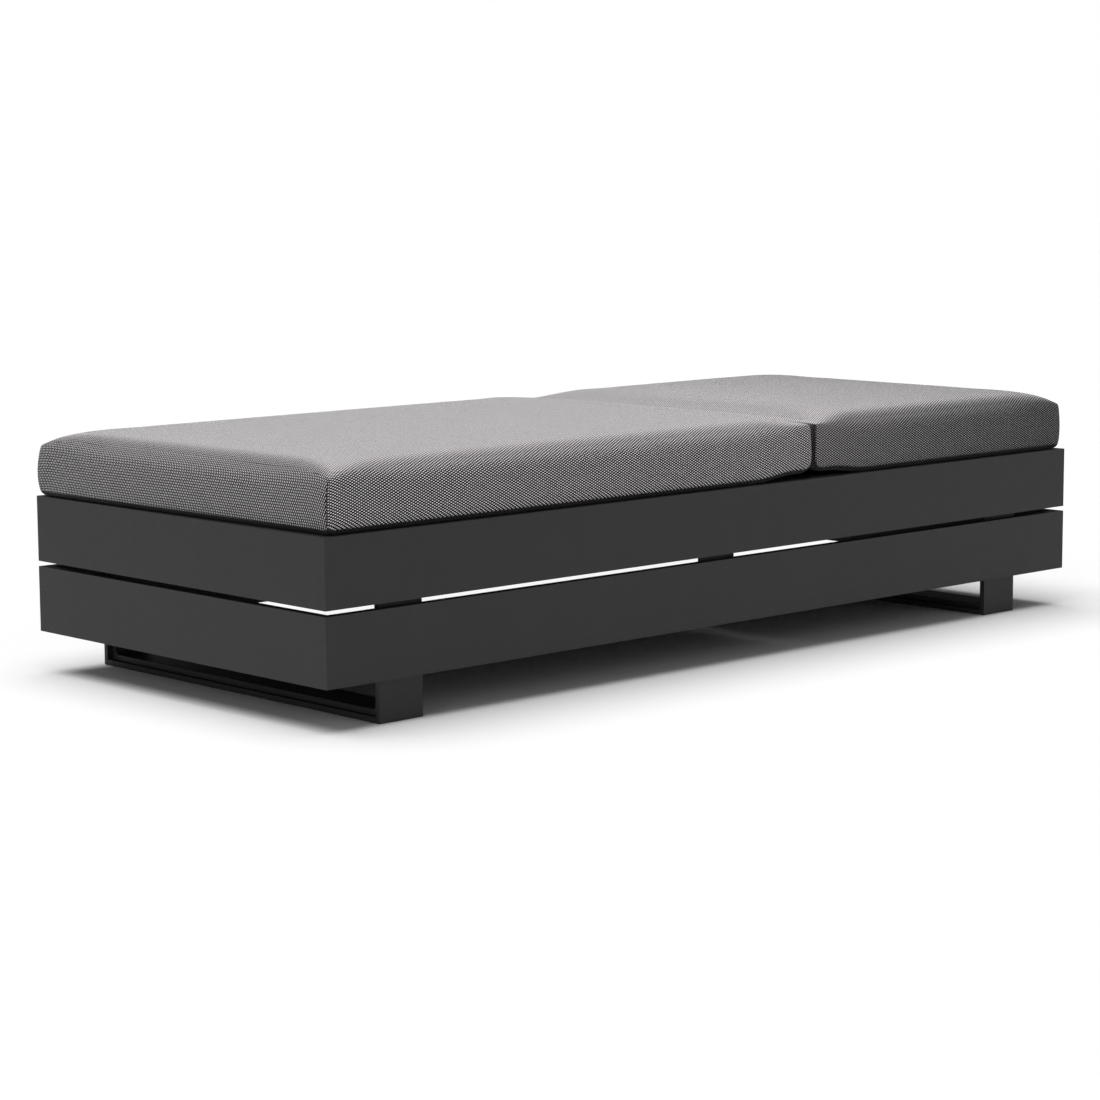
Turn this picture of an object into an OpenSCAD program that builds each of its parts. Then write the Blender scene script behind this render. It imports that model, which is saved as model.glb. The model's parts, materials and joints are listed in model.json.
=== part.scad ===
// Reclining sun lounger: a low box of hollow planks on two sled legs, a slatted
// platform, a hinged backrest with a folding prop, and a two-part cushion.
// Millimetres. X runs from the foot end to the head end, Z is up, and the origin
// is on the ground under the middle of the frame. Left is the -Y side.

/* [Overall size] */
// Length of the frame, foot end to head end
length = 2000; // [1660:10:2400]
// Width of the frame over the outer plank faces
width = 850; // [700:10:1020]
// Distance of the backrest hinge from the head end of the frame
back_len = 785; // [740:1:942]

/* [Plank bands] */
// Height of one plank
plank_h = 122; // [112:1:147]
// Thickness of one plank, outer face to inner face
plank_t = 19; // [15:1:24]
// Wall of the hollow plank profile
plank_wall = 2; // [1.5:0.1:3]
// Open gap between the lower and the upper band
band_gap = 10; // [5:1:20]
// Clear height under the lower band
ground_clear = 78; // [60:1:120]

/* [Sled legs] */
// Width of the sled's flat bar
sled_w = 97; // [80:1:120]
// Thickness of the flat bar
sled_t = 10; // [8:1:12]
// Thickness of the inner band that stiffens the flat bar
rib_t = 10; // [8:1:12]
// Step from the edge of the flat bar to the edge of the inner band
rib_step = 11; // [8:1:16]
// Inside corner radius of the inner band
rib_corner_r = 12; // [6:1:20]
// Foot end of the frame to the foot sled
foot_sled_inset = 128; // [100:1:200]
// Head end of the frame to the head sled
head_sled_inset = 143; // [100:1:200]
// Height the plastic glides stand proud of the runner
glide_proud = 0.8; // [0.5:0.1:2]
// Height of the sled uprights behind the upper band
upright_lap = 22; // [18:1:26]

/* [Platform] */
// Number of slats in the seat
seat_slats = 9; // [6:1:9]
// Number of slats in the backrest
back_slats = 6; // [4:1:6]
// Width of one slat
slat_w = 92; // [70:1:96]
// Thickness of one slat
slat_t = 14; // [12:1:17]
// Wall of the hollow slat profile
slat_wall = 1.5; // [1.2:0.1:2.5]
// Free space between the hinge axis and the slats on each side of it
hinge_gap = 20; // [18:1:30]
// Thickness of brackets, ledges and racks
bracket_t = 4; // [3:0.5:5]
// Height of the ledge that carries the seat slats
ledge_h = 30; // [26:1:34]
// Reach of the ledge under the slats
ledge_reach = 34; // [30:1:40]

/* [Cross beams] */
// Height of a cross beam
beam_h = 25; // [20:1:28]
// Width of a cross beam
beam_w = 40; // [30:1:50]
// Wall of a cross beam
beam_wall = 2; // [1.5:0.1:3]

/* [Backrest] */
// Height of a backrest stile
stile_h = 26; // [22:1:30]
// Width of a backrest stile
stile_w = 25; // [20:1:30]
// Wall of the stile and rail tubes
stile_wall = 2; // [1.5:0.1:2.5]
// Largest angle of the backrest
back_angle = 55; // [50:1:58]
// Radius of the hinge pin
pin_r = 5; // [4:0.5:6]
// Running clearance of a pin in its bush, on the radius
pin_clear = 0.05; // [0.02:0.01:0.1]

/* [Prop] */
// Distance from the hinge to the prop pivot, which is also the prop's length
prop_len = 330; // [275:1:345]
// Radius of the prop's foot bar
bar_r = 6; // [5:0.5:8]
// Thickness of a prop arm
arm_t = 5; // [4:0.5:6]
// Height of a prop arm
arm_h = 20; // [16:1:22]
// Clearance of the foot bar over the rack's teeth
bar_clear = 0.3; // [0.2:0.1:1]

/* [Cushion] */
// Thickness of the cushion at its side edges
cushion_edge_h = 94; // [70:1:120]
// Extra height of the cushion's crown at its middle
cushion_crown = 30; // [10:1:40]
// Inset of the cushion's sides from the plank faces
cushion_inset = 8; // [4:1:18]
// Inset of the cushion's ends from the plank faces
cushion_end_inset = 10; // [4:1:24]
// Gap between the cushion and the platform
cushion_gap = 0.3; // [0.2:0.1:1]

/* [Hidden] */
$fn = 48;
cut = 1;
// Heights of the bands and of the platform
lower_z = ground_clear;
upper_z = lower_z + plank_h + band_gap;
top_z = upper_z + plank_h;
slat_z = top_z - slat_t;
// Half sizes of the frame, and of the space inside the planks
end_x = length / 2;
side_y = width / 2;
inner_x = end_x - plank_t;
inner_y = side_y - plank_t;
// Screws shared by every bracket; a hole is wider than its screw by hole_clear
screw_r = 2.5;
screw_head_r = 4.5;
screw_head_h = 3;
screw_bite = 5;
hole_clear = 0.1;
fit_clear = 0.02;
ledge_screw_edge = 12;
ledge_screw_drop = 3;
// Corner brackets, in the free height of each band below the ledge
corner_leg = 40;
corner_h = 60;
corner_mid = (plank_h - slat_t - ledge_h) / 2;
// Sled legs
foot_sled_x = -end_x + foot_sled_inset;
head_sled_x = end_x - head_sled_inset - sled_w;
upright_top = upper_z + upright_lap;
lower_bolt_z = lower_z + plank_h / 2;
upper_bolt_z = upper_z + upright_lap / 2;
bolt_edge = 26;
glide_l = 60;
glide_w = 30;
glide_h = 3;
glide_edge = 40;
// Backrest hinge: its axis is level with the underside of the slats
hinge_x = end_x - back_len;
hinge_z = slat_z;
boss_r = 12;
boss_len = 10;
bush_r = pin_r + 2;
pin_head_r = 8;
pin_head_h = 4;
side_play = 1;
lug_r = 11;
lug_t = 6;
lug_y = inner_y - bracket_t - boss_len - side_play;
hinge_plate_x = [-14, 44];
hinge_plate_z = [-34, 12];
hinge_screws = [[-3, -25], [34, -25], [34, 3]];
// Backrest frame
stile_y = lug_y - lug_t;
stile_in_y = stile_y - stile_w;
stile_mid_y = stile_y - stile_w / 2;
stile_z = slat_z - stile_h;
stile_start = 30;
stile_end_play = 16;
foot_rail_start = 10;
stile_x = hinge_x + stile_start;
stile_end_x = inner_x - stile_end_play;
// Slat rows, with their free space at the planks
seat_end_play = 4;
back_end_play = 8;
seat_slat_play = 1;
back_slat_play = 2;
seat_x = [-inner_x + seat_end_play, hinge_x - hinge_gap];
back_x = [hinge_x + hinge_gap, inner_x - back_end_play];
seat_slat_half = inner_y - seat_slat_play;
back_slat_half = inner_y - bracket_t - screw_head_h - back_slat_play;
seat_pitch = (seat_x[1] - seat_x[0] - slat_w) / (seat_slats - 1);
back_pitch = (back_x[1] - back_x[0] - slat_w) / (back_slats - 1);
// Prop: it pivots at mid height of the stile, and its foot runs along the racks
pivot_drop = stile_h / 2;
pivot_x = hinge_x + prop_len;
pivot_z = hinge_z - pivot_drop;
prop_pin_r = 4;
prop_bush_r = 6;
prop_pin_bite = 7;
arm_out_y = stile_in_y - side_play;
arm_in_y = arm_out_y - arm_t;
// Path of the foot bar's axis as the backrest stands at an angle
function foot_x(a) = hinge_x + 2 * prop_len * cos(a) + pivot_drop * sin(a);
function foot_z(a) = hinge_z - pivot_drop * cos(a);
// Cross beams, clear above the sled uprights
beam_lift = 4;
foot_beam_off = 60;
mid_beam_off = 266.5;
hinge_beam_off = 60;
rear_beam_off = 12;
beam_z = upright_top + beam_lift;
rack_z = beam_z + beam_h;
foot_beam_x = foot_sled_x + sled_w + foot_beam_off;
mid_beam_x = hinge_x - mid_beam_off;
hinge_beam_x = hinge_x - hinge_beam_off;
front_rack_beam_x = foot_x(back_angle);
rear_rack_beam_x = foot_x(0) + rear_beam_off;
// Racks
notch_angles = [0, 20, 30, 40, 48, back_angle];
notch_play = 0.6;
notch_r = bar_r + notch_play;
notch_sink = 5;
rack_off = 14;
rack_screw_off = 10;
rack_y = arm_in_y - rack_off;
rack_over = 18;
rack_flange = 22;
// Rest posts carry the lowered backrest under its stiles
post_w = 18;
bumper_r = 8;
bumper_h = 7;
rest_clear = 0.3;
// Brackets that tie the two bands together at mid length
gap_bracket_w = 82;
gap_bracket_drop = 70;
gap_bracket_x = mid_beam_x;
// Cushion: the two parts lean away from each other at the hinge
cushion_z = top_z + cushion_gap;
cushion_side_y = side_y - cushion_inset;
cushion_end_x = end_x - cushion_end_inset;
cushion_h = cushion_edge_h + cushion_crown;
cushion_top = cushion_z + cushion_h;
crown_r = (pow(cushion_side_y, 2) + pow(cushion_crown, 2)) / (2 * cushion_crown);
cushion_round = 22;
fold_spare = 2.5;
fold_half = back_angle / 2 + fold_spare;
fold_play = 2;
function fold_dx(z) = fold_play + (z - hinge_z) * tan(fold_half);
// Colours
paint = [0.21, 0.21, 0.22];
bright = [0.62, 0.62, 0.64];
plastic = [0.05, 0.05, 0.05];
cloth = [0.42, 0.40, 0.41];

seat_slat_names = [for (i = [1:seat_slats]) str("seat_slat_", i)];
back_slat_names = [for (i = [1:back_slats]) str("back_slat_", i)];

// ---- Helpers ----

// Draws its children on the left (-1) or the right (+1) side
module on_side(side) {
    mirror([0, side < 0 ? 1 : 0, 0]) children();
}

module both_sides() {
    on_side(-1) children();
    on_side(1) children();
}

// Draws its children at the foot end (-1) or the head end (+1)
module at_end(end) {
    mirror([end < 0 ? 1 : 0, 0, 0]) children();
}

// Turns what stands along +Z so that it points out to the side, along +Y
module point_out() {
    rotate([-90, 0, 0]) children();
}

// A screw through a piece of thickness t: its head seats on z = 0, its shank runs up
module screw(t) {
    translate([0, 0, -screw_head_h]) cylinder(r = screw_head_r, h = screw_head_h);
    cylinder(r = screw_r, h = t + screw_bite);
}

module screw_hole(t) {
    translate([0, 0, -cut]) cylinder(r = screw_r + hole_clear, h = t + screw_bite + 2 * cut);
}

// A rectangular tube along +X, open at both ends
module tube_x(len, w, h, wall) {
    difference() {
        cube([len, w, h]);
        translate([-cut, wall, wall]) cube([len + 2 * cut, w - 2 * wall, h - 2 * wall]);
    }
}

// A rectangular tube along Y, centred on the frame's middle plane
module tube_y(half, w, h, wall) {
    translate([w / 2, -half, 0]) rotate([0, 0, 90]) tube_x(2 * half, w, h, wall);
}

// ---- Plank bands ----

// A hollow plank with mitred ends, its outer face on y = 0 and its middle at x = 0
module plank(len) {
    half = len / 2;
    inside = plank_t - plank_wall;
    difference() {
        linear_extrude(plank_h) polygon([
            [-half, 0],
            [half, 0],
            [half - plank_t, -plank_t],
            [plank_t - half, -plank_t]
        ]);
        translate([0, 0, plank_wall]) linear_extrude(plank_h - 2 * plank_wall) polygon([
            [plank_wall - cut - half, -plank_wall],
            [half - plank_wall + cut, -plank_wall],
            [half - inside + cut, -inside],
            [inside - cut - half, -inside]
        ]);
    }
}

module long_plank(side, z) {
    color(paint) difference() {
        on_side(side) translate([0, side_y, z]) plank(length);
        frame_screw_places(side, z) screw_hole(bracket_t);
        sled_bolt_places(side) screw_hole(sled_t + rib_t);
    }
}

module end_plank(end, z) {
    color(paint) difference() {
        at_end(end) translate([end_x, 0, z]) rotate([0, 0, -90]) plank(width);
        both_sides() at_end(end) corner_screw_places(z) screw_hole(bracket_t);
    }
}

module upper_plank_left() { long_plank(-1, upper_z); }
module upper_plank_right() { long_plank(1, upper_z); }
module upper_plank_foot() { end_plank(-1, upper_z); }
module upper_plank_head() { end_plank(1, upper_z); }
module lower_plank_left() { long_plank(-1, lower_z); }
module lower_plank_right() { long_plank(1, lower_z); }
module lower_plank_foot() { end_plank(-1, lower_z); }
module lower_plank_head() { end_plank(1, lower_z); }

// Screws of the corner bracket at the head end of the right side, in the band at z
module corner_screw_places(z) {
    for (dz = [-corner_h / 4, corner_h / 4]) translate([0, 0, z + corner_mid + dz]) {
        translate([inner_x - corner_leg * 0.7, inner_y - bracket_t, 0]) point_out() children();
        translate([inner_x - bracket_t, inner_y - corner_leg * 0.7, 0]) rotate([0, 90, 0]) children();
    }
}

// Angle brackets inside every corner of both bands
module corner_brackets() {
    color(paint) difference() {
        for (z = [lower_z, upper_z], end = [-1, 1]) both_sides() at_end(end)
            translate([inner_x, inner_y, z + corner_mid - corner_h / 2]) {
                translate([-corner_leg, -bracket_t, 0]) cube([corner_leg, bracket_t, corner_h]);
                translate([-bracket_t, -corner_leg, 0]) cube([bracket_t, corner_leg, corner_h]);
            }
        for (z = [lower_z, upper_z], end = [-1, 1]) both_sides() at_end(end)
            corner_screw_places(z) screw_hole(bracket_t);
    }
}

// Flat brackets behind the gap, screwed to both bands
module gap_bracket(side) {
    low = lower_z + plank_h - gap_bracket_drop;
    color(paint) difference() {
        on_side(side) translate([gap_bracket_x - gap_bracket_w / 2, inner_y - bracket_t, low])
            cube([gap_bracket_w, bracket_t, upright_top - low]);
        on_side(side) gap_screw_places() screw_hole(bracket_t);
    }
}

module left_gap_bracket() { gap_bracket(-1); }
module right_gap_bracket() { gap_bracket(1); }

module gap_screw_places() {
    for (dx = [-1, 1] * gap_bracket_w / 3, z = [lower_z + plank_h - gap_bracket_drop / 2, upper_bolt_z])
        translate([gap_bracket_x + dx, inner_y - bracket_t, z]) point_out() children();
}

// Every screw of the right-hand side that enters the long plank of the band at z
module side_screw_places(z) {
    for (end = [-1, 1]) at_end(end) corner_screw_places(z) children();
    gap_screw_places() children();
    if (z == upper_z) {
        ledge_screw_places() children();
        hinge_screw_places() children();
    }
}

module frame_screw_places(side, z) {
    on_side(side) side_screw_places(z) children();
}

module frame_screws() {
    color(bright) {
        frame_screw_places(-1, upper_z) screw(bracket_t);
        frame_screw_places(1, upper_z) screw(bracket_t);
        both_sides() for (end = [-1, 1]) at_end(end) corner_screw_places(lower_z) screw(bracket_t);
        both_sides() rack_screw_places() screw(bracket_t);
    }
}

// ---- Sled legs ----

// One leg: a flat bar bent to a runner with two uprights, and a narrower band inside it
module sled(x) {
    color(paint) difference() {
        union() {
            sled_band(x, sled_w, 0, sled_t, 0);
            sled_band(x + rib_step, sled_w - 2 * rib_step, sled_t, rib_t, rib_corner_r);
        }
        glide_places() glide(fit_clear);
        both_sides() sled_bolt_places(1) screw_hole(sled_t + rib_t);
    }
}

// A U-shaped band, inset from the outside of the leg, with an inside corner radius
module sled_band(x, band_w, inset, t, r) {
    out_y = inner_y - inset;
    in_y = out_y - t;
    low = glide_proud + inset;
    high = low + t;
    translate([x, 0, 0]) difference() {
        translate([0, -out_y, low]) cube([band_w, 2 * out_y, upright_top - low]);
        translate([-cut, -in_y, high + r]) cube([band_w + 2 * cut, 2 * in_y, upright_top]);
        if (r > 0) {
            translate([-cut, r - in_y, high]) cube([band_w + 2 * cut, 2 * (in_y - r), upright_top]);
            both_sides() translate([-cut, in_y - r, high + r]) rotate([0, 90, 0])
                cylinder(r = r, h = band_w + 2 * cut);
        }
    }
}

module foot_sled() { sled(foot_sled_x); }
module head_sled() { sled(head_sled_x); }

module sled_bolt_places(side) {
    on_side(side) for (x = [foot_sled_x, head_sled_x], dx = [bolt_edge, sled_w - bolt_edge],
                       z = [lower_bolt_z, upper_bolt_z])
        translate([x + dx, inner_y - sled_t - rib_t, z]) point_out() children();
}

module sled_bolts() {
    color(bright) both_sides() sled_bolt_places(1) screw(sled_t + rib_t);
}

// Plastic pads let into the underside of the runners
module glide_places() {
    for (x = [foot_sled_x, head_sled_x]) both_sides()
        translate([x + (sled_w - glide_l) / 2, inner_y - glide_edge - glide_w, 0]) children();
}

module glide(clear) {
    translate([-clear, -clear, 0]) cube([glide_l + 2 * clear, glide_w + 2 * clear, glide_h]);
}

module floor_glides() {
    color(plastic) glide_places() glide(0);
}

// ---- Cross beams and ledges ----

module beam(x) {
    color(paint) translate([x, 0, beam_z]) tube_y(inner_y, beam_w, beam_h, beam_wall);
}

module rack_beam(x) {
    difference() {
        beam(x);
        both_sides() rack_screw_places() screw_hole(bracket_t);
    }
}

module foot_beam() { beam(foot_beam_x); }
module mid_beam() { beam(mid_beam_x); }
module hinge_beam() { beam(hinge_beam_x); }
module front_rack_beam() { rack_beam(front_rack_beam_x); }
module rear_rack_beam() { rack_beam(rear_rack_beam_x); }

// Angle ledge on the inside of the long plank; the seat slats lie on it
module ledge(side) {
    len = seat_x[1] - seat_x[0];
    color(paint) difference() {
        on_side(side) translate([seat_x[0], 0, slat_z - ledge_h]) {
            translate([0, inner_y - bracket_t, 0]) cube([len, bracket_t, ledge_h]);
            translate([0, inner_y - ledge_reach, ledge_h - bracket_t]) cube([len, ledge_reach, bracket_t]);
        }
        on_side(side) ledge_screw_places() screw_hole(bracket_t);
        on_side(side) seat_screw_places() screw_hole(bracket_t);
    }
}

module left_ledge() { ledge(-1); }
module right_ledge() { ledge(1); }

// Between the slats, so that a driver reaches the heads
module ledge_screw_places() {
    z = slat_z - ledge_h / 2 - ledge_screw_drop;
    for (i = [0:2:seat_slats - 2])
        translate([seat_slat_mid(i) + seat_pitch / 2, inner_y - bracket_t, z]) point_out() children();
}

// ---- Seat slats ----

function seat_slat_mid(i) = seat_x[0] + slat_w / 2 + i * seat_pitch;
function back_slat_mid(i) = back_x[0] + slat_w / 2 + i * back_pitch;

module slat(mid, half) {
    translate([mid, 0, slat_z]) tube_y(half, slat_w, slat_t, slat_wall);
}

module seat_slat(i) {
    color(paint) difference() {
        slat(seat_slat_mid(i - 1), seat_slat_half);
        both_sides() seat_screw_places() screw_hole(bracket_t);
    }
}

module seat_screw_places() {
    y = inner_y - ledge_reach + ledge_screw_edge;
    for (i = [0:seat_slats - 1]) translate([seat_slat_mid(i), y, slat_z - bracket_t]) children();
}

module seat_slat_screws() {
    color(bright) both_sides() seat_screw_places() screw(bracket_t);
}

// ---- Backrest hinge ----

// Plate with a boss; the boss holds the bush
module hinge_bracket(side) {
    color(paint) difference() {
        on_side(side) translate([hinge_x, inner_y - bracket_t, hinge_z]) {
            translate([hinge_plate_x[0], 0, hinge_plate_z[0]])
                cube([hinge_plate_x[1] - hinge_plate_x[0], bracket_t, hinge_plate_z[1] - hinge_plate_z[0]]);
            translate([0, -boss_len, 0]) point_out() cylinder(r = boss_r, h = boss_len + bracket_t);
        }
        on_side(side) hinge_axis() translate([0, 0, -cut])
            cylinder(r = bush_r + fit_clear, h = boss_len + bracket_t + 2 * cut);
        on_side(side) hinge_screw_places() screw_hole(bracket_t);
    }
}

module left_hinge_bracket() { hinge_bracket(-1); }
module right_hinge_bracket() { hinge_bracket(1); }

// The hinge axis of the right side: its z = 0 is the boss's free end
module hinge_axis() {
    translate([hinge_x, inner_y - bracket_t - boss_len, hinge_z]) point_out() children();
}

module hinge_screw_places() {
    for (p = hinge_screws)
        translate([hinge_x + p[0], inner_y - bracket_t, hinge_z + p[1]]) point_out() children();
}

module hinge_bushes() {
    color(plastic) both_sides() hinge_axis() difference() {
        cylinder(r = bush_r, h = boss_len + bracket_t);
        translate([0, 0, -cut]) cylinder(r = pin_r + pin_clear, h = boss_len + bracket_t + 2 * cut);
    }
}

// Headed pins, fixed in the lugs of the stiles and turning in the bushes
module hinge_pins() {
    pin_short = 0.5;
    reach = side_play + boss_len + bracket_t - pin_short;
    color(bright) both_sides() hinge_axis() translate([0, 0, -side_play - lug_t]) {
        translate([0, 0, -pin_head_h]) cylinder(r = pin_head_r, h = pin_head_h);
        cylinder(r = pin_r, h = lug_t + reach);
    }
}

// ---- Racks and rest posts ----

// Toothed plate on a foot flange; the prop's bar runs along its teeth
module rack(side) {
    x0 = foot_x(back_angle) - rack_over;
    x1 = foot_x(0) + rack_over;
    slope = (foot_z(back_angle) - foot_z(0)) / (foot_x(back_angle) - foot_x(0));
    tip = bar_r + bar_clear;
    color(paint) difference() {
        on_side(side) translate([0, rack_y, 0]) {
            rotate([90, 0, 0]) linear_extrude(bracket_t) polygon([
                [x0, rack_z],
                [x1, rack_z],
                [x1, foot_z(0) - tip + slope * rack_over],
                [x0, foot_z(back_angle) - tip - slope * rack_over]
            ]);
            translate([x0, -rack_flange, rack_z]) cube([x1 - x0, rack_flange, bracket_t]);
        }
        on_side(side) for (a = notch_angles)
            translate([foot_x(a), rack_y - bracket_t - cut, foot_z(a) - bar_clear - notch_sink])
                point_out() cylinder(r = notch_r, h = bracket_t + 2 * cut);
        on_side(side) rack_screw_places() screw_hole(bracket_t);
    }
}

module left_rack() { rack(-1); }
module right_rack() { rack(1); }

// From above, through the flange into the beam
module rack_screw_places() {
    y = rack_y - bracket_t - rack_screw_off;
    for (x = [front_rack_beam_x, rear_rack_beam_x])
        translate([x, y, rack_z + bracket_t]) rotate([180, 0, 0]) children();
}

module rest_posts() {
    post_h = stile_z - rest_clear - bumper_h - rack_z;
    color(paint) both_sides() translate([rear_rack_beam_x, stile_mid_y, rack_z])
        translate([-post_w / 2, -post_w / 2, 0]) cube([post_w, post_w, post_h]);
}

module rest_bumpers() {
    color(plastic) both_sides()
        translate([rear_rack_beam_x, stile_mid_y, stile_z - rest_clear - bumper_h])
            cylinder(r = bumper_r, h = bumper_h);
}

// ---- Backrest ----

// Tube with a lug that reaches forward to the hinge axis
module back_stile(side) {
    color(paint) difference() {
        union() {
            on_side(side) translate([stile_x, stile_in_y, stile_z])
                tube_x(stile_end_x - stile_x, stile_w, stile_h, stile_wall);
            on_side(side) back_lug();
        }
        on_side(side) hinge_axis() translate([0, 0, -side_play - lug_t - cut])
            cylinder(r = pin_r + fit_clear, h = lug_t + 2 * cut);
        on_side(side) prop_axis() translate([0, 0, -cut])
            cylinder(r = prop_pin_r + fit_clear, h = side_play + prop_pin_bite + 2 * cut);
        on_side(side) back_screw_places() screw_hole(stile_h);
    }
}

// Plate on the outer face of the stile, with a round end about the hinge axis
module back_lug() {
    overlap = 45;
    translate([0, stile_y, 0]) {
        translate([hinge_x, 0, hinge_z]) point_out() cylinder(r = lug_r, h = lug_t);
        translate([hinge_x, lug_t, hinge_z]) rotate([90, 0, 0]) linear_extrude(lug_t) polygon([
            [0, -lug_r],
            [stile_x - hinge_x, -stile_h],
            [stile_x - hinge_x + overlap, -stile_h],
            [stile_x - hinge_x + overlap, 0],
            [hinge_gap - 2, 0],
            [0, lug_r]
        ]);
    }
}

module left_back_stile() { back_stile(-1); }
module right_back_stile() { back_stile(1); }

module back_rail(x) {
    color(paint) translate([x, 0, stile_z]) tube_y(stile_in_y, stile_w, stile_h, stile_wall);
}

module back_foot_rail() { back_rail(stile_x + stile_w / 2 + foot_rail_start); }
module back_head_rail() { back_rail(stile_end_x - stile_w / 2); }

module back_slat(i) {
    color(paint) difference() {
        slat(back_slat_mid(i - 1), back_slat_half);
        both_sides() back_screw_places() screw_hole(stile_h);
    }
}

// Long screws from below, through the stile and into the slat
module back_screw_places() {
    for (i = [0:back_slats - 1]) translate([back_slat_mid(i), stile_mid_y, stile_z]) children();
}

module back_slat_screws() {
    color(bright) both_sides() back_screw_places() screw(stile_h);
}

// ---- Prop ----

// The prop pivot of the right side: its z = 0 is the arm's outer face
module prop_axis() {
    translate([pivot_x, arm_out_y, pivot_z]) point_out() children();
}

module prop_arm(side) {
    color(paint) on_side(side) translate([pivot_x, arm_in_y, pivot_z]) difference() {
        union() {
            point_out() cylinder(r = arm_h / 2, h = arm_t);
            translate([0, 0, -arm_h / 2]) cube([prop_len, arm_t, arm_h]);
            translate([prop_len, 0, 0]) point_out() cylinder(r = arm_h / 2, h = arm_t);
        }
        translate([0, -cut, 0]) point_out() cylinder(r = prop_bush_r + fit_clear, h = arm_t + 2 * cut);
    }
}

module left_prop_arm() { prop_arm(-1); }
module right_prop_arm() { prop_arm(1); }

module prop_bar() {
    color(bright) translate([foot_x(0), -arm_in_y, foot_z(0)]) point_out()
        cylinder(r = bar_r, h = 2 * arm_in_y);
}

module prop_bushes() {
    color(plastic) both_sides() prop_axis() translate([0, 0, -arm_t]) difference() {
        cylinder(r = prop_bush_r, h = arm_t);
        translate([0, 0, -cut]) cylinder(r = prop_pin_r + pin_clear, h = arm_t + 2 * cut);
    }
}

// Headed pins, fixed in the stiles and turning in the bushes of the arms
module prop_pins() {
    head_gap = 0.3;
    color(bright) both_sides() prop_axis() translate([0, 0, -arm_t - head_gap]) {
        translate([0, 0, -pin_head_h]) cylinder(r = pin_head_r, h = pin_head_h);
        cylinder(r = prop_pin_r, h = arm_t + head_gap + side_play + prop_pin_bite);
    }
}

// ---- Cushion ----

// A pad between two ends that may lean, rounded along its lower edges and crowned on top
module pad(low_x, high_x, low_top_x, high_top_x) {
    color(cloth) translate([0, 0, cushion_z]) intersection() {
        translate([0, cushion_side_y, 0]) rotate([90, 0, 0]) linear_extrude(2 * cushion_side_y)
            polygon([[low_x, 0], [high_x, 0], [high_top_x, cushion_h], [low_top_x, cushion_h]]);
        translate([-end_x, 0, cushion_h - crown_r]) rotate([0, 90, 0])
            cylinder(r = crown_r, h = length, $fn = 360);
        translate([-end_x, 0, 0]) rotate([90, 0, 90]) linear_extrude(length) polygon([
            [cushion_round / 2 - cushion_side_y, 0],
            [cushion_side_y - cushion_round / 2, 0],
            [cushion_side_y, cushion_round],
            [cushion_side_y, cushion_h],
            [-cushion_side_y, cushion_h],
            [-cushion_side_y, cushion_round]
        ]);
    }
}

module seat_cushion() {
    pad(-cushion_end_x, hinge_x - fold_dx(cushion_z), -cushion_end_x, hinge_x - fold_dx(cushion_top));
}

module back_cushion() {
    pad(hinge_x + fold_dx(cushion_z), cushion_end_x, hinge_x + fold_dx(cushion_top), cushion_end_x);
}

upper_plank_left();
upper_plank_right();
upper_plank_foot();
upper_plank_head();
lower_plank_left();
lower_plank_right();
lower_plank_foot();
lower_plank_head();
corner_brackets();
left_gap_bracket();
right_gap_bracket();
frame_screws();
foot_sled();
head_sled();
sled_bolts();
floor_glides();
left_ledge();
right_ledge();
foot_beam();
mid_beam();
hinge_beam();
front_rack_beam();
rear_rack_beam();
for (i = [1:seat_slats]) seat_slat(i);
seat_slat_screws();
left_hinge_bracket();
right_hinge_bracket();
hinge_bushes();
left_rack();
right_rack();
rest_posts();
rest_bumpers();
seat_cushion();
left_back_stile();
right_back_stile();
back_foot_rail();
back_head_rail();
for (i = [1:back_slats]) back_slat(i);
back_slat_screws();
hinge_pins();
prop_pins();
back_cushion();
left_prop_arm();
right_prop_arm();
prop_bar();
prop_bushes();
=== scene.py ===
import json
import math

import bpy
import numpy as np
from mathutils import Matrix, Vector


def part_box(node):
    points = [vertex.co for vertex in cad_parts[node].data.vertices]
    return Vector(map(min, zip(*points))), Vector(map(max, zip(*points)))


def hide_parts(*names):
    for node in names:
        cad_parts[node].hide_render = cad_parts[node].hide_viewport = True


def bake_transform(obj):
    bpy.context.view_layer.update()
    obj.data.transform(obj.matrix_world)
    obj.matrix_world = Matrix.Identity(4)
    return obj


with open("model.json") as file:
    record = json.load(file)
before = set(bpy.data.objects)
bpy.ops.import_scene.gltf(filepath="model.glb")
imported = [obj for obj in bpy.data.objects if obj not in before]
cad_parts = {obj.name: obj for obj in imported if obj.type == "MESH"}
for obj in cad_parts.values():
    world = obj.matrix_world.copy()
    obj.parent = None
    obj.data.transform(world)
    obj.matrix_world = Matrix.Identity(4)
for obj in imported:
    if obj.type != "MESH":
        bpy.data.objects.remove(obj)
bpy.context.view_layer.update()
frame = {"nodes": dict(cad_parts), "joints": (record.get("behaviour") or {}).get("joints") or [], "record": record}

scene = bpy.context.scene
scene.view_settings.view_transform = "Standard"

# All lengths are metres.


# ---- Camera: the photograph's viewpoint, a long lens low over the foot end's left corner ----

CAMERA_PLACE = (-3.9176, -4.0766, 0.9541)
CAMERA_YAW = math.radians(43.167)
CAMERA_PITCH = math.radians(7.864)
CAMERA_ROLL = math.radians(-0.312)
CAMERA_LENS = 93.76
CAMERA_SENSOR = 36


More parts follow.
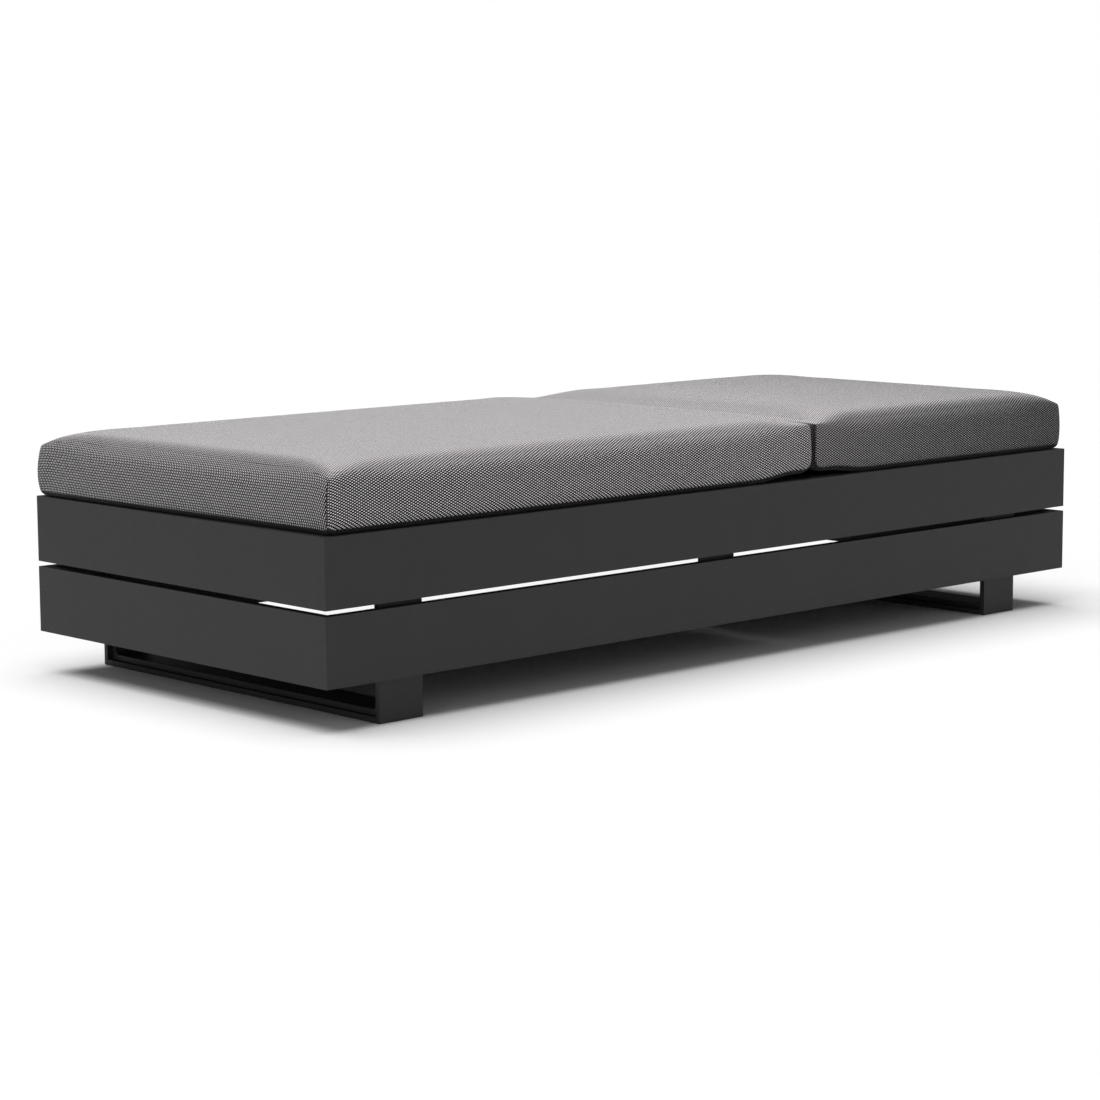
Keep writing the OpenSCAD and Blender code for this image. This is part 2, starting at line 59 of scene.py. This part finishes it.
def make_camera():
    ahead = Vector((
        math.sin(CAMERA_YAW) * math.cos(CAMERA_PITCH),
        math.cos(CAMERA_YAW) * math.cos(CAMERA_PITCH),
        -math.sin(CAMERA_PITCH),
    ))
    level_right = Vector((math.cos(CAMERA_YAW), -math.sin(CAMERA_YAW), 0))
    level_up = level_right.cross(ahead)
    right = level_right * math.cos(CAMERA_ROLL) + level_up * math.sin(CAMERA_ROLL)
    up = right.cross(ahead)
    camera = bpy.data.objects.new("camera", bpy.data.cameras.new("camera"))
    camera.data.lens = CAMERA_LENS
    camera.data.sensor_width = CAMERA_SENSOR
    camera.matrix_world = Matrix((right, up, -ahead)).transposed().to_4x4()
    camera.location = CAMERA_PLACE
    scene.collection.objects.link(camera)
    scene.camera = camera


make_camera()


# ---- Shader helpers ----

def new_material(name):
    material = bpy.data.materials.new(name)
    material.use_nodes = True
    tree = material.node_tree
    return material, tree, tree.nodes["Principled BSDF"]


def feed(tree, socket, value):
    """Gives a socket its value: a link from another node, a colour without its alpha, or a number."""
    if isinstance(value, bpy.types.NodeSocket):
        tree.links.new(value, socket)
    elif isinstance(value, tuple):
        socket.default_value = (*value, 1)
    else:
        socket.default_value = value


def noise(tree, scale, detail):
    """Noise in object space, so that it doesn't depend on UVs."""
    place = tree.nodes.new("ShaderNodeTexCoord")
    field = tree.nodes.new("ShaderNodeTexNoise")
    field.inputs["Scale"].default_value = scale
    field.inputs["Detail"].default_value = detail
    tree.links.new(place.outputs["Object"], field.inputs["Vector"])
    return field.outputs["Fac"]


def remap(tree, value, low, high):
    """Maps a 0 to 1 value to the range low to high."""
    node = tree.nodes.new("ShaderNodeMapRange")
    node.inputs["To Min"].default_value = low
    node.inputs["To Max"].default_value = high
    tree.links.new(value, node.inputs["Value"])
    return node.outputs["Result"]


def blend_colours(tree, factor, first, second):
    node = tree.nodes.new("ShaderNodeMix")
    node.data_type = "RGBA"
    feed(tree, node.inputs["Factor"], factor)
    feed(tree, node.inputs["A"], first)
    feed(tree, node.inputs["B"], second)
    return node.outputs["Result"]


def calculate(tree, operation, *values):
    node = tree.nodes.new("ShaderNodeMath")
    node.operation = operation
    for socket, value in zip(node.inputs, values):
        feed(tree, socket, value)
    return node.outputs[0]


def bump(tree, height, strength, distance):
    node = tree.nodes.new("ShaderNodeBump")
    node.inputs["Strength"].default_value = strength
    node.inputs["Distance"].default_value = distance
    tree.links.new(height, node.inputs["Height"])
    return node.outputs["Normal"]


def stored(tree, name):
    """The value that the mesh stores for each point under this name."""
    node = tree.nodes.new("ShaderNodeAttribute")
    node.attribute_name = name
    return node.outputs["Fac"]


# ---- Materials ----

def powder_coat():
    """Anthracite powder coat: fine orange peel, and a little unevenness of tone and gloss."""
    material, tree, shader = new_material("powder_coat")
    unevenness = noise(tree, scale=9, detail=3)
    tone = blend_colours(tree, unevenness, (0.0232, 0.0234, 0.0238), (0.0274, 0.0276, 0.0280))
    gloss = remap(tree, noise(tree, scale=60, detail=4), low=0.44, high=0.54)
    peel = bump(tree, noise(tree, scale=1400, detail=2), strength=0.10, distance=0.0003)
    tree.links.new(tone, shader.inputs["Base Color"])
    tree.links.new(gloss, shader.inputs["Roughness"])
    tree.links.new(peel, shader.inputs["Normal"])
    shader.inputs["Specular IOR Level"].default_value = 0.22
    return material


def stainless_steel():
    material, tree, shader = new_material("stainless")
    grain = noise(tree, scale=300, detail=4)
    tone = blend_colours(tree, grain, (0.42, 0.42, 0.43), (0.58, 0.58, 0.59))
    gloss = remap(tree, noise(tree, scale=500, detail=3), low=0.28, high=0.40)
    tree.links.new(tone, shader.inputs["Base Color"])
    tree.links.new(gloss, shader.inputs["Roughness"])
    shader.inputs["Metallic"].default_value = 1
    return material


def moulded(name, dark, light, roughness):
    """Moulded plastic or rubber; roughness is its (low, high) range."""
    material, tree, shader = new_material(name)
    tone = blend_colours(tree, noise(tree, scale=40, detail=3), dark, light)
    gloss = remap(tree, noise(tree, scale=200, detail=3), *roughness)
    grain = bump(tree, noise(tree, scale=900, detail=2), strength=0.15, distance=0.0003)
    tree.links.new(tone, shader.inputs["Base Color"])
    tree.links.new(gloss, shader.inputs["Roughness"])
    tree.links.new(grain, shader.inputs["Normal"])
    return material


# One repeat of the weave along the pad and across it
WEAVE_ALONG = 0.0094
WEAVE_ACROSS = 0.0048
# Where a gap ends and a thread begins, on the weave's own scale from -1 to 1
THREAD_EDGE = (-0.16, 0.14)
# How far the threads draw back on the sides and far ends, on the same scale: painted shade that makes these faces
# darker than the top
THREAD_SHRINK = 0.34
YARN_DARK = (0.74, 0.715, 0.725)
YARN_LIGHT = (0.93, 0.90, 0.915)
BLACK_CLOTH_AND_SHADE = (0.006, 0.005, 0.005)
THREAD_HEIGHT = 0.0022


def woven_fabric():
    """Open outdoor weave: pale taupe threads that cross on the diagonal over black gaps."""
    material, tree, shader = new_material("woven_fabric")
    uv = tree.nodes.new("ShaderNodeUVMap")
    uv.uv_map = "weave"
    split = tree.nodes.new("ShaderNodeSeparateXYZ")
    tree.links.new(uv.outputs["UV"], split.inputs["Vector"])

    def wave(place, period):
        return calculate(tree, "SINE", calculate(tree, "MULTIPLY", place, 2 * math.pi / period))

    waves = [wave(split.outputs["X"], WEAVE_ALONG), wave(split.outputs["Y"], WEAVE_ACROSS)]
    cells = calculate(tree, "MULTIPLY", *waves)
    # Threads drawn back on the sides and far ends: painted shade that makes them darker than the top
    drawn_back = remap(tree, stored(tree, "open_weave_shade"), low=0, high=THREAD_SHRINK)
    edge = tree.nodes.new("ShaderNodeMapRange")
    edge.interpolation_type = "SMOOTHSTEP"
    edge.inputs["From Min"].default_value = THREAD_EDGE[0]
    edge.inputs["From Max"].default_value = THREAD_EDGE[1]
    tree.links.new(calculate(tree, "SUBTRACT", cells, drawn_back), edge.inputs["Value"])
    threads = edge.outputs["Result"]

    yarn = blend_colours(tree, noise(tree, scale=700, detail=3), YARN_DARK, YARN_LIGHT)
    cloth = blend_colours(tree, threads, BLACK_CLOTH_AND_SHADE, yarn)
    # Black underside and corner seams, and painted shade in the joint crease and along the lower edge
    seamed_and_shaded = blend_colours(tree, stored(tree, "black"), cloth, BLACK_CLOTH_AND_SHADE)
    # The stored tone darkens the cloth: painted shade on the end panels, toward the head end and along the back
    # part's side
    tone = blend_colours(tree, stored(tree, "tone"), (0, 0, 0), seamed_and_shaded)
    tree.links.new(tone, shader.inputs["Base Color"])
    relief = bump(tree, threads, strength=1.0, distance=THREAD_HEIGHT)
    tree.links.new(relief, shader.inputs["Normal"])
    shader.inputs["Roughness"].default_value = 0.85
    shader.inputs["Specular IOR Level"].default_value = 0.2
    shader.inputs["Sheen Weight"].default_value = 0.08
    shader.inputs["Sheen Roughness"].default_value = 0.5
    return material


MATERIALS = {
    "frame": powder_coat(),
    "stainless": stainless_steel(),
    "plastic": moulded("plastic", (0.012, 0.012, 0.012), (0.022, 0.022, 0.022), (0.5, 0.6)),
    "rubber": moulded("rubber", (0.010, 0.010, 0.010), (0.018, 0.018, 0.018), (0.75, 0.85)),
    "cushion_fabric": woven_fabric(),
}


# ---- CAD nodes: soft edges and their materials ----

EDGE_RADIUS = 0.0007
EDGE_ANGLE = math.radians(40)


def dress_nodes():
    slots = {part["node"]: part["material_slot"] for part in frame["record"]["subparts"]}
    for name, piece in frame["nodes"].items():
        piece.data.materials.clear()
        piece.data.materials.append(MATERIALS[slots[name]])
        if slots[name] == "frame":
            edge = piece.modifiers.new("edge", "BEVEL")
            edge.width = EDGE_RADIUS
            edge.segments = 2
            edge.limit_method = "ANGLE"
            edge.angle_limit = EDGE_ANGLE


dress_nodes()


# ---- Cushion ----
#
# Each part is a closed grid of quads: a box with rounded edges, inflated as a tight cover is by
# its foam. The joint is the end where the two parts meet over the hinge, and the far end is the
# other one.

HINGE = Vector(frame["joints"][0]["pos_m"])
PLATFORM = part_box("upper_plank_left")[1].z
SEAT_LOW, SEAT_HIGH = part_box("seat_cushion")
BACK_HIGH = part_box("back_cushion")[1]

# The box that each part starts from, and the play on each side of the joint
SIDE = SEAT_HIGH.y
FOOT_END = SEAT_LOW.x - 0.003
HEAD_END = BACK_HIGH.x + 0.004
UNDERSIDE = PLATFORM + 0.0006
TOP_EDGE = 0.449
JOINT_PLAY = 0.0005

# Its grid: the usual cell, and the places of the two lines beside each edge of the box
CELL = 0.012
EDGE_LINES = (0.0022, 0.0070)

# Radii of its rounded edges: upright ones, and (across, up) for the lying ones
UPRIGHT_R = 0.007
TOP_R = (0.060, 0.044)
TOP_CORNER_R = (0.008, 0.007)
BOTTOM_R = (0.007, 0.030)
JOINT_UPRIGHT_R = 0.010
JOINT_TOP_R = (0.009, 0.006)
JOINT_TOP_CORNER_R = (0.013, 0.008)
JOINT_BOTTOM_R = (0.036, 0.024)
# How far from the joint its own radii reach, and how far in from its corners theirs do
JOINT_REACH = 0.06
JOINT_CORNER_REACH = 0.13

# The far corners: how far their tight radii and their drop reach, and how steeply each fades
CORNER_REACH = 0.17
CORNER_R_FADE = 1.3
CORNER_DROP = 0.022
CORNER_DROP_FADE = 2.6

# The swell by formula. A crown stays flat and then falls toward an edge, the faster the higher
# the power. A side or end bulges from the last tenth of the box, less near its corners.
CROWN_SIDE_FALL = 6
CROWN_JOINT_FALL = 8
BULGE_START = 0.9
BULGE_ROUNDNESS = 0.8
SIDE_BULGE = 0.006
SIDE_BULGE_LOSS = 0.5
SIDE_BULGE_FALL = 16
END_BULGE_LOSS = 0.15
END_BULGE_FALL = 8

# The swell by simulation, and its share in the finished shape
LAST_FRAME = 20
HELD_HEIGHT = 0.002
LARGEST_PERCENTILE = 99.5
SIMULATED_GAIN = 1.3
SIMULATED_SHARE = 0.45
MAX_SWELL = 0.030

# The joint: the top dips toward it, and the underside is lifted clear of the slats, in full over
# the first part of the bend
JOINT_DIP = 0.008
JOINT_CORNER_DIP = 0.0025
JOINT_DIP_REACH = 0.13
JOINT_LIFT = 0.010
JOINT_LIFT_FULL = 0.45
BEND_REACH = 0.110

# The foot end lies a little askew: its left corner is this far in, and its right corner out
FOOT_SKEW = 0.007

# Black cloth and painted shade: depth of the corner seams, reach of the crease's painted shade, and how black the
# lowest edge is painted as shade
SEAM_DEPTH = 0.0016
CREASE_REACH = 0.09
LOWER_EDGE_PAINTED_SHADE = 0.5

# Painted shade on the cloth: darker far end panels, where the cloth runs the other way round, a top that
# darkens toward the head end, and a back part's side that darkens toward it. Each sets in over a range of the
# surface's slope.
END_PAINTED_SHADE = 0.76
HEAD_PAINTED_SHADE = 0.72
BACK_SIDE_PAINTED_SHADE = (0.62, 0.31)
END_SLOPE = (0.08, 0.58)
SIDE_SLOPE = (0.2, 0.7)


def smooth(t):
    t = np.clip(t, 0, 1)
    return t * t * (3 - 2 * t)


def smooth_between(value, low, high):
    return smooth((value - low) / (high - low))


def mix(a, b, t):
    return a + (b - a) * t


def near(distance, reach, power):
    """1 at no distance, falling to 0 at reach."""
    return np.clip(1 - distance / reach, 0, 1) ** power


def grid_lines(half):
    """Places of the grid lines from -half to half, with narrow cells beside both edges."""
    inner = half - EDGE_LINES[1]
    even = np.linspace(-inner, inner, max(2, round(2 * inner / CELL)) + 1)
    edge = half - EDGE_LINES[0]
    return np.concatenate([[-half, -edge], even, [edge, half]])


class Pad:
    """One cushion part. facing is +1 if its joint is its high end in X, and -1 if its low end.
    far_fall is the power with which the crown falls toward the far end."""

    def __init__(self, name, low_x, high_x, facing, crown, far_fall, end_bulge):
        self.name, self.facing, self.crown = name, facing, crown
        self.far_fall, self.end_bulge = far_fall, end_bulge
        self.far_x = low_x if facing > 0 else high_x
        self.half = np.array([(high_x - low_x) / 2, SIDE, (TOP_EDGE - UNDERSIDE) / 2])
        self.middle = np.array([(high_x + low_x) / 2, 0, (TOP_EDGE + UNDERSIDE) / 2])
        self.lines = [grid_lines(half) for half in self.half]
        self.make_grid()
        self.round_edges()

    def make_grid(self):
        """The surface points of a box grid, by their whole-number places, and its faces."""
        nx, ny, nz = self.last = [len(line) - 1 for line in self.lines]
        self.place, self.faces, self.panels = {}, [], []

        def corner(key):
            return self.place.setdefault(key, len(self.place))

        def quad(panel, *keys):
            self.faces.append([corner(key) for key in keys])
            self.panels.append(panel)

        for i in range(nx):
            for j in range(ny):
                quad("top", (i, j, nz), (i + 1, j, nz), (i + 1, j + 1, nz), (i, j + 1, nz))
                quad("under", (i, j, 0), (i, j + 1, 0), (i + 1, j + 1, 0), (i + 1, j, 0))
            for k in range(nz):
                quad("side", (i, 0, k), (i + 1, 0, k), (i + 1, 0, k + 1), (i, 0, k + 1))
                quad("side", (i, ny, k), (i, ny, k + 1), (i + 1, ny, k + 1), (i + 1, ny, k))
        for j in range(ny):
            for k in range(nz):
                quad("end", (0, j, k), (0, j, k + 1), (0, j + 1, k + 1), (0, j + 1, k))
                quad("end", (nx, j, k), (nx, j + 1, k), (nx, j + 1, k + 1), (nx, j, k + 1))
        self.keys = list(self.place)
        self.grid = np.array([[line[n] for line, n in zip(self.lines, key)] for key in self.keys])

    def round_edges(self):
        """Turns the box's edges into quarter ellipses: wide along the top, and tight at the
        corners and along the joint."""
        p = self.grid
        above = p[:, 2] > 0
        joint = smooth(1 - (self.half[0] - p[:, 0] * self.facing) / JOINT_REACH)
        to_end = self.half[0] - np.abs(p[:, 0])
        to_side = self.half[1] - np.abs(p[:, 1])
        corner = near(to_end, CORNER_REACH, CORNER_R_FADE)
        corner *= near(to_side, CORNER_REACH, CORNER_R_FADE)
        joint_corner = 1 - smooth(to_side / JOINT_CORNER_REACH)

        def radius(k):
            top = mix(TOP_R[k], TOP_CORNER_R[k], corner)
            joint_top = mix(JOINT_TOP_R[k], JOINT_TOP_CORNER_R[k], joint_corner)
            bottom = mix(BOTTOM_R[k], JOINT_BOTTOM_R[k], joint)
            return np.where(above, mix(top, joint_top, joint), bottom)

        radius_up = radius(1)
        flat = self.half[2] - radius_up
        lying = smooth(np.maximum(0, np.abs(p[:, 2]) - flat) / radius_up)
        upright = mix(UPRIGHT_R, JOINT_UPRIGHT_R, joint)
        side_edge = np.where(above, mix(TOP_R[0], TOP_CORNER_R[0], corner), BOTTOM_R[0])
        r = np.stack([mix(upright, radius(0), lying), mix(upright, side_edge, lying), radius_up], 1)
        core = np.minimum(np.abs(p), self.half - r)
        out = (np.abs(p) - core) / r
        length = np.maximum(np.linalg.norm(out, axis=1, keepdims=True), 1e-9)
        self.base = self.middle + np.sign(p) * (core + out / length * r)
        self.up = np.clip((self.base[:, 2] - UNDERSIDE) / (TOP_EDGE - UNDERSIDE), 0, 1)

    def plain_swell(self):
        """How far each point moves as the cover fills, by formula."""
        across = self.base[:, 1] / SIDE
        along = (self.base[:, 0] - self.middle[0]) / self.half[0]
        to_side, to_end = np.abs(across), np.abs(along)
        move = np.zeros_like(self.base)
        end_fall = np.where(along * self.facing < 0, self.far_fall, CROWN_JOINT_FALL)
        dome = (1 - to_side ** CROWN_SIDE_FALL) * (1 - to_end ** end_fall)
        move[:, 2] = self.crown * dome * smooth(self.up * 2 - 1)
        bulge = np.sin(np.pi * self.up) ** BULGE_ROUNDNESS
        side = smooth_between(to_side, BULGE_START, 1) * np.sign(across)
        side *= 1 - SIDE_BULGE_LOSS * to_end ** SIDE_BULGE_FALL
        move[:, 1] = SIDE_BULGE * bulge * side
        far = smooth_between(-along * self.facing, BULGE_START, 1)
        far *= 1 - END_BULGE_LOSS * to_side ** END_BULGE_FALL
        move[:, 0] = -self.facing * self.end_bulge * bulge * far
        return move

    def blown_cover(self):
        """The cover's points after a cloth simulation that blows it up with its underside held."""
        cover = self.new_object(self.name + "_cover", self.base)
        held = cover.vertex_groups.new(name="held")
        low = np.flatnonzero(self.base[:, 2] < UNDERSIDE + HELD_HEIGHT)
        held.add(low.tolist(), 1.0, "REPLACE")
        cloth = cover.modifiers.new("cloth", "CLOTH")
        cloth.settings.quality = 6
        cloth.settings.mass = 0.3
        cloth.settings.tension_stiffness = 25
        cloth.settings.compression_stiffness = 25
        cloth.settings.shear_stiffness = 12
        cloth.settings.bending_stiffness = 4
        cloth.settings.use_pressure = True
        cloth.settings.uniform_pressure_force = 4
        cloth.settings.vertex_group_mass = "held"
        cloth.settings.effector_weights.gravity = 0
        cloth.collision_settings.use_collision = False
        cloth.point_cache.frame_end = LAST_FRAME
        for step in range(1, LAST_FRAME + 1):
            scene.frame_set(step)
        blown = cover.evaluated_get(bpy.context.evaluated_depsgraph_get()).to_mesh()
        points = np.array([v.co for v in blown.vertices])
        scene.frame_set(1)
        mesh = cover.data
        bpy.data.objects.remove(cover)
        bpy.data.meshes.remove(mesh)
        return points

    def simulated_swell(self):
        """How far each point moves in the simulation, scaled along each axis so that its largest
        moves are the formula's times the gain."""
        move, plain = self.blown_cover() - self.base, self.plain_swell()
        for axis in range(3):
            most, wanted = [np.percentile(np.abs(m[:, axis]), LARGEST_PERCENTILE) for m in (move, plain)]
            move[:, axis] *= SIMULATED_GAIN * wanted / max(most, 1e-6)
        length = np.linalg.norm(move, axis=1, keepdims=True)
        return move * np.minimum(1, MAX_SWELL / np.maximum(length, 1e-9))

    def shape(self):
        """The points of the finished pad."""
        move = self.plain_swell()
        move = mix(move, self.simulated_swell(), SIMULATED_SHARE)
        points = self.base + move
        up = smooth(self.up)
        to_side = SIDE - np.abs(self.base[:, 1])
        to_far = np.abs(self.base[:, 0] - self.far_x)
        drop = near(to_far, CORNER_REACH, CORNER_DROP_FADE) * near(to_side, CORNER_REACH, CORNER_DROP_FADE)
        points[:, 2] -= CORNER_DROP * drop * up
        to_hinge = np.abs(self.base[:, 0] - HINGE.x)
        dip = JOINT_DIP + JOINT_CORNER_DIP * (1 - smooth(to_side / JOINT_CORNER_REACH))
        points[:, 2] -= dip * (1 - smooth(to_hinge / JOINT_DIP_REACH)) * up
        lift = 1 - smooth(to_hinge / BEND_REACH - JOINT_LIFT_FULL)
        points[:, 2] += JOINT_LIFT * lift * (1 - up)
        points += self.seam_groove()
        if self.facing > 0:
            to_foot = np.clip((HINGE.x - self.base[:, 0]) / (HINGE.x - FOOT_END), 0, 1)
            points[:, 0] -= FOOT_SKEW * to_foot * self.base[:, 1] / SIDE
        return self.trim_at_joint(points)

    def trim_at_joint(self, points):
        """Keeps the two parts from reaching into each other."""
        limit = HINGE.x * self.facing - JOINT_PLAY
        points[:, 0] = np.minimum(points[:, 0] * self.facing, limit) * self.facing
        return points

    def on_seam(self):
        """1 on the upright corner seams of the far end."""
        nx, ny, nz = self.last
        far = 0 if self.facing > 0 else nx
        return np.array([float(i == far and j in (0, ny) and k < nz) for i, j, k in self.keys])

    def seam_groove(self):
        """The corner seams are drawn in toward the middle of the pad."""
        inward = np.sign(self.middle - self.base) / math.sqrt(2)
        inward[:, 2] = 0
        return inward * (SEAM_DEPTH * self.on_seam())[:, None]

    def black_cloth_and_painted_shade(self):
        """1 where the cover is black: its underside and corner seams, and the joint's crease as painted
        shade, fading out across the top. The edge over the underside is partly black, painted shade."""
        joint = self.last[0] if self.facing > 0 else 0
        blackness = {0: 1.0, 1: LOWER_EDGE_PAINTED_SHADE}
        low = np.array([blackness.get(k, 0.0) for i, j, k in self.keys])
        crease = np.array([float(i == joint) for i, j, k in self.keys])
        crease *= near(SIDE - np.abs(self.base[:, 1]), CREASE_REACH, 1)
        return np.maximum(np.maximum(low, crease), self.on_seam())

    def weave_coordinates(self, points):
        """Length along the cloth from the middle of each row of the grid, so that the weave keeps
        its scale over every edge: one set for the cloth that wraps over the top and the sides,
        and one for the end panels."""
        nx, ny, nz = self.last
        wrap, end = {}, {}

        def walk(keys, store, axis):
            chain = points[[self.place[key] for key in keys]]
            steps = np.linalg.norm(np.diff(chain, axis=0), axis=1)
            length = np.concatenate([[0], np.cumsum(steps)])
            for key, value in zip(keys, length - length[-1] / 2):
                store.setdefault(key, [0.0, 0.0])[axis] = float(value)

        for i in range(nx + 1):
            up = [(i, 0, k) for k in range(nz)]
            over = [(i, j, nz) for j in range(ny + 1)]
            down = [(i, ny, k) for k in reversed(range(nz))]
            walk(up + over + down, wrap, 1)
        for j in range(ny + 1):
            up = [(0, j, k) for k in range(nz)]
            over = [(i, j, nz) for i in range(nx + 1)]
            down = [(nx, j, k) for k in reversed(range(nz))]
            walk(up + over + down, end, 0)
            walk(over, wrap, 0)
        for k in range(nz):
            for j in (0, ny):
                walk([(i, j, k) for i in range(nx + 1)], wrap, 0)
        for k in range(nz + 1):
            for i in (0, nx):
                walk([(i, j, k) for j in range(ny + 1)], end, 1)
        return wrap, end

    def new_object(self, name, points):
        mesh = bpy.data.meshes.new(name)
        mesh.from_pydata(points.tolist(), [], self.faces)
        mesh.update()
        piece = bpy.data.objects.new(name, mesh)
        scene.collection.objects.link(piece)
        return piece

    def build(self):
        points = self.shape()
        piece = self.new_object(self.name, points)
        mesh = piece.data
        mesh.materials.append(MATERIALS["cushion_fabric"])
        wrap, end = self.weave_coordinates(points)
        layer = mesh.uv_layers.new(name="weave")
        for face, panel in zip(mesh.polygons, self.panels):
            face.use_smooth = True
            for loop in face.loop_indices:
                index = mesh.loops[loop].vertex_index
                if panel == "under":
                    layer.data[loop].uv = points[index][:2]
                else:
                    layer.data[loop].uv = (end if panel == "end" else wrap)[self.keys[index]]
        self.store(mesh, "black", self.black_cloth_and_painted_shade())
        self.shade(mesh)
        return piece

    def store(self, mesh, name, values):
        attribute = mesh.attributes.new(name, "FLOAT", "POINT")
        attribute.data.foreach_set("value", values.astype(np.float32))

    def shade(self, mesh):
        """Painted shade on the cloth. How far the weave opens down the sides and the far end, which
        makes them darker than the top, and its tone: the end panels, where the cloth runs the other
        way round, the head end and the side of the back part are darker, as where less light falls."""
        normal = np.abs([v.normal for v in mesh.vertices])
        end = smooth_between(normal[:, 0], *END_SLOPE)
        end *= self.base[:, 0] * self.facing < HINGE.x * self.facing - CELL
        side = smooth_between(normal[:, 1], *SIDE_SLOPE)
        to_head = np.clip((self.base[:, 0] - HINGE.x) / (BACK_HIGH.x - HINGE.x), 0, 1)
        back_side_shade = mix(*BACK_SIDE_PAINTED_SHADE, to_head) if self.facing < 0 else 1
        # Painted shade: darker end panels, and a top and a back side that darken toward the head end
        tone = mix(1, END_PAINTED_SHADE, end) * mix(mix(1, HEAD_PAINTED_SHADE, to_head), back_side_shade, side)
        # How far the weave opens: painted shade on the sides and far ends
        self.store(mesh, "open_weave_shade", np.clip(end + side, 0, 1))
        self.store(mesh, "tone", tone)


def make_pad(name, node, low_x, high_x, **details):
    piece = Pad(name, low_x, high_x, **details).build()
    soft = piece.modifiers.new("smooth", "SUBSURF")
    soft.levels = soft.render_levels = 1
    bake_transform(piece)
    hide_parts(node)


make_pad("seat_pad", "seat_cushion", FOOT_END, HINGE.x - JOINT_PLAY,
         facing=1, crown=0.010, far_fall=8, end_bulge=0.014)
make_pad("back_pad", "back_cushion", HINGE.x + JOINT_PLAY, HEAD_END,
         facing=-1, crown=0.014, far_fall=4, end_bulge=0.006)


# ---- Studio ----

FLOOR_HALF = 30
SKY_STRENGTH = 0.15


def make_floor():
    mesh = bpy.data.meshes.new("floor")
    h = FLOOR_HALF
    mesh.from_pydata([(-h, -h, 0), (h, -h, 0), (h, h, 0), (-h, h, 0)], [], [(0, 1, 2, 3)])
    floor = bpy.data.objects.new("floor", mesh)
    scene.collection.objects.link(floor)
    material, tree, shader = new_material("studio_floor")
    unevenness = noise(tree, scale=0.4, detail=2)
    tone = blend_colours(tree, unevenness, (0.74, 0.74, 0.74), (0.78, 0.78, 0.78))
    tree.links.new(tone, shader.inputs["Base Color"])
    shader.inputs["Roughness"].default_value = 0.9
    shader.inputs["Specular IOR Level"].default_value = 0.1
    mesh.materials.append(material)


def soft_sun(name, toward, strength, spread_deg):
    """Even light from one side, as a large softbox gives, the same all over the floor."""
    light = bpy.data.lights.new(name, "SUN")
    light.energy = strength
    light.angle = math.radians(spread_deg)
    lamp = bpy.data.objects.new(name, light)
    lamp.rotation_euler = (-Vector(toward)).to_track_quat("-Z", "Y").to_euler()
    scene.collection.objects.link(lamp)


def make_world():
    """A dim even sky that lights the object, and plain white where the camera looks past it."""
    world = bpy.data.worlds.new("studio")
    scene.world = world
    world.use_nodes = True
    tree = world.node_tree
    tree.nodes.clear()

    def white(strength):
        background = tree.nodes.new("ShaderNodeBackground")
        background.inputs["Color"].default_value = (1, 1, 1, 1)
        background.inputs["Strength"].default_value = strength
        return background.outputs["Background"]

    path = tree.nodes.new("ShaderNodeLightPath")
    choose = tree.nodes.new("ShaderNodeMixShader")
    surface = tree.nodes.new("ShaderNodeOutputWorld")
    tree.links.new(path.outputs["Is Camera Ray"], choose.inputs["Fac"])
    tree.links.new(white(SKY_STRENGTH), choose.inputs[1])
    tree.links.new(white(1), choose.inputs[2])
    tree.links.new(choose.outputs["Shader"], surface.inputs["Surface"])


make_floor()
make_world()
soft_sun("overhead", toward=(-0.12, 0.10, 1), strength=3.6, spread_deg=62)
soft_sun("foot_fill", toward=(-1, -0.2, 0.35), strength=0.55, spread_deg=50)
soft_sun("side_fill", toward=(0.1, -1, 0.3), strength=0.45, spread_deg=50)
